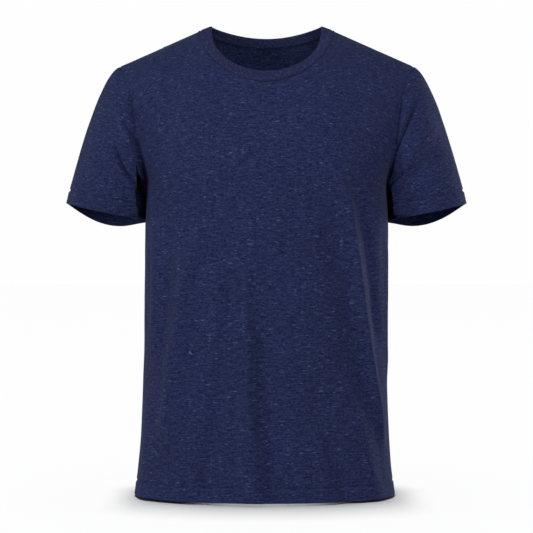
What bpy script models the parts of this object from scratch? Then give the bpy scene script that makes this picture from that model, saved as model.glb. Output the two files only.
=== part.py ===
"""Crew neck t-shirt in heather jersey, standing open as it does on a body.

A front, a back, two set-in sleeves and a folded rib neckband meet at their seams.
Each is a thin closed wall: its outer side is worked out from the tables below, and
its inner side lies one cloth thickness further in, or more along a turned-up hem.

Frame: metres, +Z up, the front faces -Y. The origin is the middle of the shoulder line.
"""
import math

import bmesh
import bpy
import numpy as np

# Cloth
JERSEY = 0.0015          # wall of the body and sleeves
TURN_UP = 0.0010         # what a turned-up hem adds to the wall
HEM_DEPTH = 0.020
SEAM_GAP = 0.0003        # between neighbouring pieces
RIB = 0.0026             # wall of the folded neckband
RIB_PROUD = 0.0006       # how far the neckband stands out from the panels

# Body
NECK_HALF = 0.0990       # from the centre to the neck end of the shoulder seam
NECK_HEIGHT = -0.0030
SHOULDER_HALF = 0.2185   # from the centre to the sleeve end of the shoulder seam
SHOULDER_SLOPE = 0.44
ARMPIT_HEIGHT = -0.235
LIFT_HEIGHT = -0.320     # from here up, grid rows rise to the shoulders and neckline
HEM_HEIGHT = -0.691
SQUARENESS = 2.4         # superellipse power of a level section
RIDGE_DEPTH = {"front": 0.24, "back": 0.19}   # from the shoulder line to full depth

# Level sections of the body: the side seams' half width and sideways shift,
# and the depth before and behind the side seams.
BODY = (
    ("height", "half_width", "shift", "front", "back"),
    (-0.691, 0.1937, -0.0028, 0.121, 0.113),
    (-0.655, 0.1889, -0.0028, 0.119, 0.111),
    (-0.600, 0.1851, -0.0021, 0.118, 0.108),
    (-0.530, 0.1821, -0.0021, 0.117, 0.104),
    (-0.458, 0.1802, -0.0014, 0.118, 0.101),
    (-0.380, 0.1808, -0.0006, 0.120, 0.102),
    (-0.300, 0.1804, 0.0004, 0.123, 0.107),
    (-0.235, 0.1785, 0.0000, 0.125, 0.111),
    (-0.190, 0.1960, 0.0000, 0.124, 0.113),
    (-0.150, 0.2135, 0.0000, 0.122, 0.112),
    (-0.105, 0.2230, 0.0000, 0.122, 0.111),
    (-0.056, 0.2245, 0.0000, 0.122, 0.110),
    (0.030, 0.2245, 0.0000, 0.122, 0.110),
)

# Armhole as it looks from the front, from the armpit up to the shoulder.
ARMHOLE = (
    ("height", "half_width"),
    (ARMPIT_HEIGHT, 0.1785),
    (-0.220, 0.1797),
    (-0.190, 0.1820),
    (-0.150, 0.1868),
    (-0.105, 0.1968),
    (-0.080, 0.2062),
    (-0.056, SHOULDER_HALF),
)

# How sharply the front and back turn over the shoulder line, by distance from the centre.
RIDGE = (
    ("half_width", "front", "back"),
    (0.00, 1.10, 0.50),
    (0.10, 0.75, 0.50),
    (0.22, 0.45, 0.45),
)

# Neck edges: half width, height at the shoulders and at the centre, and the power
# that shapes the curve between them.
NECK_SEAM = (
    ("side", "half_width", "at_side", "at_centre", "power"),
    ("front", NECK_HALF, NECK_HEIGHT, -0.0855, 1.20),
    ("back", NECK_HALF, NECK_HEIGHT, -0.0187, 2.20),
)
NECK_EDGE = (
    ("side", "half_width", "at_side", "at_centre", "power"),
    ("front", 0.0815, 0.0042, -0.0700, 0.87),
    ("back", 0.0815, 0.0042, -0.0063, 2.60),
)
NECK_EDGE_DEPTH = {"front": 0.915, "back": 0.895}   # of the seam's depth

# Neckband's section: share of the way from seam to edge, and level from its
# inner face (0) to its outer face (1).
BAND_SECTION = (
    ("share", "level"),
    (0.00, 1.00),
    (0.40, 1.10),
    (0.86, 1.00),
    (1.00, 0.66),
    (1.00, 0.34),
    (0.86, 0.00),
    (0.40, -0.06),
    (0.00, 0.00),
)

# Sleeve: ends of the cuff's long axis, its half depth, and how far the cloth droops
# in front and behind; then how it leaves the armhole and how it reaches the cuff.
HANDS = {"sleeve_left": -1, "sleeve_right": 1}
CUFF_OUTER = (0.2984, -0.2602)
CUFF_INNER = (0.1818, -0.2840)
CUFF_HALF_DEPTH = 0.055
CUFF_DROOP = {"front": 0.003, "back": 0.019}
SLEEVE_LEAVES = {"top": (0.092, 0.000, -0.042),
                 "side": (0.062, 0.050, -0.060),
                 "under": (0.004, 0.000, -0.030)}
SLEEVE_ARRIVES = {"top": (0.050, 0.000, -0.210),
                  "side": (0.022, 0.000, -0.120),
                  "under": (0.004, 0.000, -0.040)}

# Largest folds of the body. Each is a curve from start over middle to end, in distance
# round the body from the centre line (towards +X) and height. Rise is outwards.
BODY_FOLDS = (
    ("piece", "start", "middle", "end", "width", "rise"),
    ("front", (-0.024, -0.330), (-0.016, -0.470), (-0.002, -0.710), 0.012, -0.0050),
    ("front", (-0.048, -0.380), (-0.060, -0.500), (-0.098, -0.700), 0.016, -0.0040),
    ("front", (-0.036, -0.420), (-0.040, -0.540), (-0.052, -0.690), 0.012, 0.0030),
    ("front", (-0.118, -0.290), (-0.142, -0.400), (-0.158, -0.590), 0.010, 0.0045),
    ("front", (-0.158, -0.290), (-0.160, -0.380), (-0.172, -0.520), 0.012, -0.0035),
    ("front", (0.126, -0.190), (0.142, -0.330), (0.196, -0.640), 0.010, 0.0060),
    ("front", (0.158, -0.240), (0.170, -0.360), (0.212, -0.560), 0.012, -0.0045),
    ("front", (0.082, -0.320), (0.108, -0.440), (0.150, -0.600), 0.016, -0.0040),
    ("front", (0.072, -0.540), (0.090, -0.600), (0.120, -0.700), 0.014, -0.0030),
    ("back", (-0.150, -0.200), (-0.130, -0.400), (-0.160, -0.680), 0.014, 0.0050),
    ("back", (-0.100, -0.300), (-0.070, -0.470), (-0.080, -0.700), 0.018, -0.0045),
    ("back", (0.010, -0.330), (-0.004, -0.500), (0.020, -0.700), 0.016, 0.0040),
    ("back", (0.080, -0.280), (0.064, -0.460), (0.086, -0.700), 0.018, -0.0045),
    ("back", (0.140, -0.210), (0.132, -0.420), (0.164, -0.660), 0.014, 0.0050),
)
FOLD_RISES = 0.28        # share of a fold's length over which it begins,
FOLD_DIES = 0.14         # and over which it dies away at its end
SEAM_CALM = 0.030        # folds die away over this distance from a side seam
ARMHOLE_CALM = 0.17      # and over this share of a sleeve from its armhole

# Creases of a sleeve: turn in degrees from the top seam towards the front, share of
# the way from armhole to cuff, for start, middle and end.
SLEEVE_FOLDS = (
    ("piece", "start", "middle", "end", "width", "rise"),
    ("sleeve_left", (50, 0.34), (106, 0.44), (146, 0.72), 0.011, -0.0045),
    ("sleeve_left", (72, 0.22), (112, 0.24), (150, 0.42), 0.010, 0.0030),
    ("sleeve_left", (30, 0.55), (62, 0.66), (90, 0.88), 0.014, 0.0025),
    ("sleeve_left", (300, 0.36), (258, 0.46), (222, 0.76), 0.013, -0.0040),
    ("sleeve_left", (284, 0.24), (250, 0.28), (216, 0.46), 0.011, 0.0030),
    ("sleeve_right", (34, 0.20), (86, 0.22), (134, 0.22), 0.010, -0.0040),
    ("sleeve_right", (20, 0.47), (78, 0.42), (130, 0.43), 0.012, 0.0035),
    ("sleeve_right", (36, 0.62), (92, 0.58), (140, 0.72), 0.013, -0.0030),
    ("sleeve_right", (312, 0.30), (262, 0.40), (224, 0.72), 0.013, -0.0040),
    ("sleeve_right", (296, 0.22), (254, 0.24), (216, 0.44), 0.011, 0.0030),
)

# Mesh density
SHOULDER_STEPS = 7
NECK_STEPS = {"front": 24, "back": 16}
SIDE_STEPS = 20
ARMHOLE_STEPS = 14
SLEEVE_STEPS = 10
SHOULDER_CROWDING = 1.2      # power that crowds the rows towards the shoulder
ARMHOLE_PULL = (1.5, 6.0)    # powers that limit the armhole's pull to the outer columns,
                             # at the chest and at the shoulder
FOLD_SAMPLES = 24
MEASURE_SAMPLES = 200
SMOOTH_ANGLE = 60

# Cosines between a piece's own normal and the normal that its seam shares: below the
# first the two walls end square, above the second they are mitred.
SQUARE_END = 0.5
MITRED_END = 0.8

# Colours and finish
NAVY_JERSEY = (0.0190, 0.0240, 0.0750)
NAVY_RIB = (0.0210, 0.0245, 0.0700)
COTTON_ROUGHNESS = 0.90


def rows_of(table):
    """Rows of a table whose first row names its columns."""
    names, *rows = table
    return [dict(zip(names, row)) for row in rows]


def row_for(table, name):
    return next(row for row in rows_of(table) if name in row.values())


def smooth_column(table, column, at):
    """Value of a column at a place in the first column, by cubics that don't overshoot."""
    known = np.array([row[0] for row in table[1:]], float)
    values = np.array([row[column] for row in rows_of(table)], float)
    step = np.diff(known)
    rate = np.diff(values) / step
    slope = np.zeros(len(known))
    same_way = rate[:-1] * rate[1:] > 0
    total = np.where(same_way, rate[:-1] + rate[1:], 1.0)
    slope[1:-1] = np.where(same_way, 2 * rate[:-1] * rate[1:] / total, 0.0)
    slope[0], slope[-1] = rate[0], rate[-1]
    at = np.clip(np.asarray(at, float), known[0], known[-1])
    index = np.clip(np.searchsorted(known, at) - 1, 0, len(step) - 1)
    t = (at - known[index]) / step[index]
    start = values[index] * (1 + 2 * t) * (1 - t) ** 2
    end = values[index + 1] * t * t * (3 - 2 * t)
    leave = slope[index] * t * (1 - t) ** 2
    arrive = slope[index + 1] * t * t * (t - 1)
    return start + end + step[index] * (leave + arrive)


def smoothstep(value):
    value = np.clip(value, 0.0, 1.0)
    return value * value * (3 - 2 * value)


def unit(vectors):
    length = np.linalg.norm(vectors, axis=-1, keepdims=True)
    return vectors / np.maximum(length, 1e-12)


def shoulder_line(x):
    """Height of the shoulder line, which rises on inside the neck without a kink."""
    x = np.abs(x)
    outside = NECK_HEIGHT - SHOULDER_SLOPE * (x - NECK_HALF)
    inside = NECK_HEIGHT + SHOULDER_SLOPE * (NECK_HALF ** 2 - x ** 2) / (2 * NECK_HALF)
    return np.where(x > NECK_HALF, outside, inside)


def body_form(side, turn, height):
    """Point of the body at a turn from the centre line (radians) and a height."""
    half_width = smooth_column(BODY, "half_width", height)
    shift = smooth_column(BODY, "shift", height)
    depth = smooth_column(BODY, side, height)
    power = 2 / SQUARENESS
    x = half_width * np.sign(turn) * np.abs(np.sin(turn)) ** power
    fall = np.clip((shoulder_line(x) - height) / RIDGE_DEPTH[side], 0.0, 1.0)
    ridge = (fall * (2 - fall)) ** smooth_column(RIDGE, side, np.abs(x))
    y = depth * np.abs(np.cos(turn)) ** power * ridge
    return np.stack([x + shift, -y if side == "front" else y, height + 0 * x], -1)


def turn_at(x, height):
    """Turn at which the body form reaches a distance from the centre."""
    share = np.clip(np.abs(x) / smooth_column(BODY, "half_width", height), 0.0, 1.0)
    return np.sign(x) * np.arcsin(share ** (SQUARENESS / 2))


def along(points):
    """Distance of each point along a line of points."""
    steps = np.linalg.norm(np.diff(points, axis=0), axis=-1)
    return np.concatenate([[0.0], np.cumsum(steps)])


def side_heights():
    """Heights of the grid rows along the side seam and the armhole."""
    hem = HEM_HEIGHT + np.array([0.0, HEM_DEPTH / 2, HEM_DEPTH, HEM_DEPTH + 2 * TURN_UP])
    side = np.linspace(hem[-1], ARMPIT_HEIGHT, SIDE_STEPS + 1)[1:]
    fine = np.linspace(ARMPIT_HEIGHT, shoulder_line(SHOULDER_HALF), MEASURE_SAMPLES)
    x = smooth_column(ARMHOLE, "half_width", fine)
    travelled = along(body_form("front", turn_at(x, fine), fine))
    steps = np.arange(1, ARMHOLE_STEPS + 1) / ARMHOLE_STEPS
    share = 1 - (1 - steps) ** SHOULDER_CROWDING
    armhole = np.interp(share * travelled[-1], travelled, fine)
    return np.concatenate([hem, side, armhole])


def neck_curve(edge, share):
    """Half a neck edge in front view; share runs from -1 over the centre to 1."""
    angle = share * math.pi / 2
    drop = np.abs(np.cos(angle)) ** edge["power"]
    height = edge["at_side"] + (edge["at_centre"] - edge["at_side"]) * drop
    return edge["half_width"] * np.sin(angle), height


def panel_top(side):
    """Top edge of a panel: shoulder seam, neckline, shoulder seam."""
    shoulder_x = np.linspace(SHOULDER_HALF, NECK_HALF, SHOULDER_STEPS + 1)[:-1]
    shoulder_z = shoulder_line(shoulder_x)
    share = np.linspace(-1, 1, NECK_STEPS[side] + 1)
    neck_x, neck_z = neck_curve(row_for(NECK_SEAM, side), share)
    x = np.concatenate([-shoulder_x, neck_x, shoulder_x[::-1]])
    height = np.concatenate([shoulder_z, neck_z, shoulder_z[::-1]])
    return turn_at(x, height), height


def panel_form(side):
    """Grid of a panel's points, rows from hem to shoulder and columns towards +X."""
    heights = side_heights()
    rows = len(heights)
    top_turn, top_height = panel_top(side)
    across = np.linspace(-1, 1, len(top_turn))
    edge_x = smooth_column(ARMHOLE, "half_width", np.maximum(heights, ARMPIT_HEIGHT))
    edge_turn = np.where(heights <= ARMPIT_HEIGHT, math.pi / 2, turn_at(edge_x, heights))
    lift = smoothstep((heights - LIFT_HEIGHT) / (heights[-1] - LIFT_HEIGHT))[:, None]
    lifted = np.maximum(np.arange(rows) - np.argmax(heights > LIFT_HEIGHT) + 1, 0)
    spread = (lifted / lifted[-1])[:, None]
    hem_turn = across * math.pi / 2
    inward = edge_turn[:, None] - (1 - spread) * edge_turn[0] - spread * edge_turn[-1]
    power = ARMHOLE_PULL[0] + (ARMHOLE_PULL[1] - ARMHOLE_PULL[0]) * spread ** 4
    reach = np.sign(across) * np.abs(across) ** power
    turn = (1 - spread) * hem_turn + spread * top_turn + inward * reach
    height = heights[:, None] + lift * (top_height - heights[-1])
    turn[-1], height[-1] = top_turn, top_height
    return body_form(side, turn, np.broadcast_to(height, (rows, len(across))))


def grid_normals(grid, piece, hand=1):
    """Outward unit normals of a grid of points. A sleeve's grid closes on itself."""
    rise = np.gradient(grid, axis=0)
    if piece == "sleeve":
        run = np.roll(grid, -1, axis=1) - np.roll(grid, 1, axis=1)
        return unit(np.cross(run, rise)) * hand
    run = np.gradient(grid, axis=1)
    return unit(np.cross(run, rise)) * (1 if piece == "front" else -1)


def fold_height(u, v, fold, scale=(1.0, 1.0)):
    """Rise of a fold at places (u, v): a soft hump about its curve, dying at its ends."""
    t = np.linspace(0, 1, FOLD_SAMPLES)
    ends = (fold["start"], fold["middle"], fold["end"])
    start, middle, end = (np.multiply(point, scale)[:, None] for point in ends)
    via = 2 * middle - (start + end) / 2
    line = (1 - t) ** 2 * start + 2 * t * (1 - t) * via + t * t * end
    best = np.full(u.shape, np.inf)
    place = np.zeros(u.shape)
    for number in range(FOLD_SAMPLES - 1):
        a, b = line[:, number], line[:, number + 1]
        step = b - a
        share = ((u - a[0]) * step[0] + (v - a[1]) * step[1]) / (step @ step)
        share = np.clip(share, 0, 1)
        gap = np.hypot(u - a[0] - share * step[0], v - a[1] - share * step[1])
        nearer = gap < best
        best = np.where(nearer, gap, best)
        place = np.where(nearer, (number + share) / (FOLD_SAMPLES - 1), place)
    strength = smoothstep(place / FOLD_RISES) * smoothstep((1 - place) / FOLD_DIES)
    return fold["rise"] * strength * np.exp(-(best / fold["width"]) ** 2)


def folded_panel(side):
    """Panel grid with its folds raised or sunk along the form's own normals."""
    grid = panel_form(side)
    centre = grid.shape[1] // 2
    steps = np.linalg.norm(np.diff(grid, axis=1), axis=-1)
    travelled = np.pad(np.cumsum(steps, axis=1), ((0, 0), (1, 0)))
    around = travelled - travelled[:, centre:centre + 1]
    to_seam = np.minimum(travelled, travelled[:, -1:] - travelled)
    rise = np.zeros(around.shape)
    for fold in rows_of(BODY_FOLDS):
        if fold["piece"] == side:
            rise += fold_height(around, grid[..., 2], fold)
    rise *= smoothstep(to_seam / SEAM_CALM)
    return grid + grid_normals(grid, side) * rise[..., None]


def armhole_loop(front, back, hand):
    """Armhole's points from the shoulder down the front and up the back, and their turns."""
    column = -1 if hand > 0 else 0
    down = front[::-1, column][:ARMHOLE_STEPS + 1]
    up = back[:, column][-ARMHOLE_STEPS:-1]
    loop = np.concatenate([down, up])
    front_share = along(down) / along(down)[-1]
    rear = along(np.concatenate([down[-1:], up, down[:1]]))
    turns = math.pi * np.concatenate([front_share, 1 + rear[1:-1] / rear[-1]])
    return loop, turns


def blend_round(turns, vectors, hand):
    """One vector for each turn, between those for the top, the sides and underneath."""
    top = np.maximum(np.cos(turns), 0)[:, None] ** 1.5
    under = np.maximum(-np.cos(turns), 0)[:, None] ** 1.5
    sides = 1 - top - under
    blended = (top * np.array(vectors["top"]) + under * np.array(vectors["under"])
               + sides * np.array(vectors["side"]))
    blended[:, 0] *= hand
    blended[:, 1] = -vectors["side"][1] * np.sin(turns)
    return blended


def cuff_loop(turns, hand):
    outer = np.array([hand * CUFF_OUTER[0], 0.0, CUFF_OUTER[1]])
    inner = np.array([hand * CUFF_INNER[0], 0.0, CUFF_INNER[1]])
    cosine, sine = np.cos(turns)[:, None], np.sin(turns)[:, None]
    loop = (outer + inner) / 2 + cosine * (outer - inner) / 2
    loop = loop - sine * np.array([0.0, CUFF_HALF_DEPTH, 0.0])
    droop = np.where(sine > 0, CUFF_DROOP["front"], CUFF_DROOP["back"]) * sine ** 2
    return loop - droop * np.array([0.0, 0.0, 1.0])


def sleeve_form(front, back, name):
    """Rings of a sleeve from its armhole to its cuff, with creases."""
    hand = HANDS[name]
    armhole, turns = armhole_loop(front, back, hand)
    cuff = cuff_loop(turns, hand)
    leaves = blend_round(turns, SLEEVE_LEAVES, hand)
    arrives = blend_round(turns, SLEEVE_ARRIVES, hand)
    length = np.linalg.norm(cuff - armhole, axis=-1)
    fold_line = 1 - (HEM_DEPTH + 2 * TURN_UP) / length
    shares = [fold_line * number / SLEEVE_STEPS for number in range(SLEEVE_STEPS + 1)]
    shares += [1 - HEM_DEPTH / length, 1 - HEM_DEPTH / 2 / length, np.ones(len(turns))]
    t = np.array(shares)[..., None]
    rings = (1 + 2 * t) * (1 - t) ** 2 * armhole + t * t * (3 - 2 * t) * cuff
    rings = rings + t * (1 - t) ** 2 * leaves - t * t * (1 - t) * arrives
    rise = np.zeros(t.shape[:2])
    degrees = np.broadcast_to(np.degrees(turns), rise.shape)
    reach = math.radians(CUFF_HALF_DEPTH)     # metres round the sleeve for a degree
    run = length.mean()
    for fold in rows_of(SLEEVE_FOLDS):
        if fold["piece"] == name:
            rise += fold_height(degrees * reach, t[..., 0] * run, fold, (reach, run))
    rise *= smoothstep(t[..., 0] / ARMHOLE_CALM)
    return rings + grid_normals(rings, "sleeve", hand) * rise[..., None]


def neck_loop(front, back):
    """Neckline's points along the front towards +X and back along the back."""
    ahead = front[-1, SHOULDER_STEPS:SHOULDER_STEPS + NECK_STEPS["front"] + 1]
    behind = back[-1, SHOULDER_STEPS + 1:SHOULDER_STEPS + NECK_STEPS["back"]][::-1]
    return np.concatenate([ahead, behind])


def neckband_form(front, back):
    """Rings of the neckband: its seam, its edge and the direction out of its face."""
    seam = neck_loop(front, back)
    edge = []
    for side in ("front", "back"):
        share = np.linspace(-1, 1, NECK_STEPS[side] + 1)
        x, height = neck_curve(row_for(NECK_EDGE, side), share)
        edge.append(np.stack([x, 0 * x, height], -1))
    edge = np.concatenate([edge[0], edge[1][1:-1][::-1]])
    count = NECK_STEPS["front"] + 1
    edge[:count, 1] = seam[:count, 1] * NECK_EDGE_DEPTH["front"]
    edge[count:, 1] = seam[count:, 1] * NECK_EDGE_DEPTH["back"]
    tangent = np.roll(seam, -1, axis=0) - np.roll(seam, 1, axis=0)
    return seam, edge, unit(np.cross(tangent, edge - seam))


def shared_normals(grids, normals):
    """Normals averaged over the pieces that meet at a point, for each grid."""
    points = np.concatenate([grid.reshape(-1, 3) for grid in grids])
    every = np.concatenate([normal.reshape(-1, 3) for normal in normals])
    keys = np.round(points * 1e6).astype(int)
    names, index = np.unique(keys, axis=0, return_inverse=True)
    index = index.reshape(-1)
    total = np.zeros((len(names), 3))
    np.add.at(total, index, every)
    shared = unit(total[index])
    parts = np.split(shared, np.cumsum([grid.shape[0] * grid.shape[1] for grid in grids])[:-1])
    return [part.reshape(grid.shape) for part, grid in zip(parts, grids)]


def seam_pull(grid, piece):
    """Unit steps along the surface away from a piece's seams, zero off the seams."""
    pull = np.zeros(grid.shape)
    if piece == "sleeve":
        tangent = unit(np.roll(grid[0], -1, axis=0) - np.roll(grid[0], 1, axis=0))
        pull[0] = away_from(grid[0], grid[1], tangent)
        return pull
    for edge, beside in ((0, 1), (-1, -2)):
        tangent = unit(np.gradient(grid[:, edge], axis=0))
        pull[:, edge] += away_from(grid[:, edge], grid[:, beside], tangent)
    tangent = unit(np.gradient(grid[-1], axis=0))
    pull[-1] += away_from(grid[-1], grid[-2], tangent)
    return pull


def away_from(edge, beside, tangent):
    step = beside - edge
    return unit(step - tangent * np.sum(step * tangent, axis=-1, keepdims=True))


def wall(grid, normal, shared, piece):
    """Outer and inner points of a piece's wall, with its seams drawn back by the gap."""
    agreement = np.sum(normal * shared, axis=-1, keepdims=True)
    joined = smoothstep((agreement - SQUARE_END) / (MITRED_END - SQUARE_END))
    pull = seam_pull(grid, piece)
    on_seam = np.linalg.norm(pull, axis=-1, keepdims=True) > 0
    direction = unit(normal + (shared - normal) * joined)
    shift = pull * SEAM_GAP / 2 - normal * SEAM_GAP * (1 - joined) * on_seam
    thickness = np.full(grid.shape[:2] + (1,), JERSEY)
    turned_up = slice(-3, None) if piece == "sleeve" else slice(0, 3)
    thickness[turned_up] += TURN_UP
    outer = grid + shift
    mitre = np.maximum(np.sum(direction * normal, axis=-1, keepdims=True), MITRED_END)
    return outer, outer - direction * thickness / mitre


def solid(name, outer, inner, closed, colour):
    """Closed wall between an outer and an inner grid, as a named object."""
    rows, columns = outer.shape[:2]
    points = np.concatenate([outer.reshape(-1, 3), inner.reshape(-1, 3)])
    number = np.arange(rows * columns).reshape(rows, columns)
    if closed:
        number = np.concatenate([number, number[:, :1]], axis=1)
    lift = rows * columns
    faces = []
    for row, above in zip(number[:-1], number[1:]):
        for a, b, c, d in zip(row[:-1], row[1:], above[1:], above[:-1]):
            faces.append((a, b, c, d))
            faces.append((d + lift, c + lift, b + lift, a + lift))
    rims = [number[0], number[-1][::-1]]
    if not closed:
        rims += [number[:, -1], number[::-1, 0]]
    for rim in rims:
        for a, b in zip(rim[:-1], rim[1:]):
            faces.append((b, a, a + lift, b + lift))
    return make_object(name, points, faces, colour)


def band_solid(name, seam, edge, outwards, at_seam, colour):
    """Closed ring of the neckband, swept round the neck with its own section.

    Its two points on the seam follow the mitre that the panels share, at_seam.
    """
    across = edge - seam
    length = np.linalg.norm(across, axis=-1, keepdims=True)
    start = SEAM_GAP / 2 / length
    rings = []
    for point in rows_of(BAND_SECTION):
        at = start + (1 - start) * point["share"]
        out = RIB_PROUD - RIB * (1 - point["level"])
        direction = outwards if point["share"] > 0 else at_seam
        rings.append(seam + across * at + direction * out)
    points = np.stack(rings, axis=1)
    count, sides = points.shape[:2]
    number = np.arange(count * sides).reshape(count, sides)
    after = np.roll(number, -1, axis=0)
    faces = []
    for ring, other in zip(number, after):
        for side in range(sides):
            turn = (side + 1) % sides
            faces.append((ring[side], other[side], other[turn], ring[turn]))
    return make_object(name, points.reshape(-1, 3), faces, colour)


def make_object(name, points, faces, colour):
    mesh = bpy.data.meshes.new(name)
    mesh.from_pydata([tuple(point) for point in points], [],
                     [tuple(int(corner) for corner in face) for face in faces])
    make_outward(mesh)
    mesh.shade_smooth()
    mesh.set_sharp_from_angle(angle=math.radians(SMOOTH_ANGLE))
    mesh.materials.append(cotton(name, colour))
    piece = bpy.data.objects.new(name, mesh)
    bpy.context.scene.collection.objects.link(piece)
    return piece


def make_outward(mesh):
    """Turn every face outwards, by the sign of the volume that they enclose."""
    work = bmesh.new()
    work.from_mesh(mesh)
    bmesh.ops.recalc_face_normals(work, faces=work.faces)
    if work.calc_volume(signed=True) < 0:
        bmesh.ops.reverse_faces(work, faces=work.faces)
    work.to_mesh(mesh)
    work.free()


def cotton(name, colour):
    material = bpy.data.materials.new(name + "_cotton")
    material.use_nodes = True
    shader = material.node_tree.nodes["Principled BSDF"]
    shader.inputs["Base Color"].default_value = (*colour, 1.0)
    shader.inputs["Roughness"].default_value = COTTON_ROUGHNESS
    shader.inputs["Metallic"].default_value = 0.0
    return material


def build():
    for item in list(bpy.data.objects):
        bpy.data.objects.remove(item)
    front, back = folded_panel("front"), folded_panel("back")
    grids = {"front": front, "back": back}
    normals = {side: grid_normals(grids[side], side) for side in ("front", "back")}
    for name, hand in HANDS.items():
        grids[name] = sleeve_form(front, back, name)
        normals[name] = grid_normals(grids[name], "sleeve", hand)
    seam, edge, outwards = neckband_form(front, back)
    *shared, at_neck = shared_normals([*grids.values(), seam[None]],
                                      [*normals.values(), outwards[None]])
    garment = bpy.data.objects.new("t_shirt", None)
    bpy.context.scene.collection.objects.link(garment)
    for (name, grid), average in zip(grids.items(), shared):
        kind = "sleeve" if name in HANDS else name
        outer, inner = wall(grid, normals[name], average, kind)
        piece = solid(name, outer, inner, name in HANDS, NAVY_JERSEY)
        piece.parent = garment
    neckband = band_solid("neckband", seam, edge, outwards, at_neck[0], NAVY_RIB)
    neckband.parent = garment


build()
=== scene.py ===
"""Looks of a crew neck t-shirt in navy heather jersey, open as it stands on a body.

Each piece of cloth keeps the form of its CAD solid and stands for it, in the same frame:
metres, +Z up, the front faces -Y, the origin in the middle of the shoulder line.
"""
import math

import bpy
import numpy as np
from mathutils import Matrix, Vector, noise


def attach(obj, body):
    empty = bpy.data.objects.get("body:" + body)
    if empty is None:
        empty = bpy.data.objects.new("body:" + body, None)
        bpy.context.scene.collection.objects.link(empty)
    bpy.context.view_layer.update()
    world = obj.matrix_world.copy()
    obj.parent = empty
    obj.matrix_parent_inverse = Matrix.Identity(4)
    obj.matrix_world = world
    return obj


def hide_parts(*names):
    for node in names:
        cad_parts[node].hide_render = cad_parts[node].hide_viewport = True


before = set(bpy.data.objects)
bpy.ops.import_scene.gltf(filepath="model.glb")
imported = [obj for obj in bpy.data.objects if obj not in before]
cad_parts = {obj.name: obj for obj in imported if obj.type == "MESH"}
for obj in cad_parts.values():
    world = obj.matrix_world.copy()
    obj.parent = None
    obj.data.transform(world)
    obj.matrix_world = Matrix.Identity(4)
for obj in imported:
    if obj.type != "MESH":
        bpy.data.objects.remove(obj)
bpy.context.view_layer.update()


# ---------------------------------------------------------------------------------------
# Front and back. Two panels of navy heather single jersey, overlocked together at the
# shoulders and sides, stand open as they do on a body. Each lower edge is turned up 2 cm
# to the inside and held there by a twin-needle stitch.
# ---------------------------------------------------------------------------------------
JERSEY = 0.0012          # wall of a single layer
HEM_WALL = 0.0021        # wall where the hem is turned up,
HEM_DEPTH = 0.0202       # which it is to this height above its edge
SEAM_GAP = 0.00005       # between two pieces at a seam
NECK_HALF = 0.0990       # from the centre line to a shoulder seam's neck end
NECK_HEIGHT = -0.0030
SHOULDER_HALF = 0.2185   # from the centre line to its sleeve end
SHOULDER_SLOPE = 0.44
ARMPIT_HEIGHT = -0.235
LIFT_HEIGHT = -0.320     # from here up, rows rise to the shoulders and neckline
SPREAD_HEIGHT = -0.3218  # from here up, columns spread to follow the armhole
ARMPIT_SPREAD = 4 / 18   # how far they have spread at the armpit
HEM_HEIGHT = -0.691
SQUARENESS = 2.4         # of the body's section: 2 is an ellipse
RIDGE_DEPTH = {"front": 0.24, "back": 0.19}       # it rounds out this far down the shoulders
NECK_SHARE = {"front": 12 / 19, "back": 8 / 15}   # of a panel's columns, at its top
ARMHOLE_PULL = (1.5, 6.0)   # power by which an armhole's pull fades, low down and at the top,
PULL_GROWS = 4              # and power by which that power grows between them
SHOULDER_CROWDING = 1.2     # power by which rows crowd towards the shoulder
ARMHOLE_SAMPLES = 400

BODY = (
    ("height", "half_width", "shift", "front", "back"),
    (-0.691, 0.1937, -0.0028, 0.121, 0.113),
    (-0.655, 0.1889, -0.0028, 0.119, 0.111),
    (-0.600, 0.1851, -0.0021, 0.118, 0.108),
    (-0.530, 0.1821, -0.0021, 0.117, 0.104),
    (-0.458, 0.1802, -0.0014, 0.118, 0.101),
    (-0.380, 0.1808, -0.0006, 0.120, 0.102),
    (-0.300, 0.1804, 0.0004, 0.123, 0.107),
    (-0.235, 0.1785, 0.0000, 0.125, 0.111),
    (-0.190, 0.1960, 0.0000, 0.124, 0.113),
    (-0.150, 0.2135, 0.0000, 0.122, 0.112),
    (-0.105, 0.2230, 0.0000, 0.122, 0.111),
    (-0.056, 0.2245, 0.0000, 0.122, 0.110),
    (0.030, 0.2245, 0.0000, 0.122, 0.110),
)
ARMHOLE = (
    ("height", "half_width"),
    (ARMPIT_HEIGHT, 0.1785),
    (-0.220, 0.1797),
    (-0.190, 0.1820),
    (-0.150, 0.1868),
    (-0.105, 0.1968),
    (-0.080, 0.2062),
    (-0.056, SHOULDER_HALF),
)
RIDGE = (
    ("half_width", "front", "back"),
    (0.00, 1.10, 0.50),
    (0.10, 0.75, 0.50),
    (0.22, 0.45, 0.45),
)
NECK_SEAM = (
    ("side", "half_width", "at_side", "at_centre", "power"),
    ("front", NECK_HALF, NECK_HEIGHT, -0.0855, 1.20),
    ("back", NECK_HALF, NECK_HEIGHT, -0.0187, 2.20),
)

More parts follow.
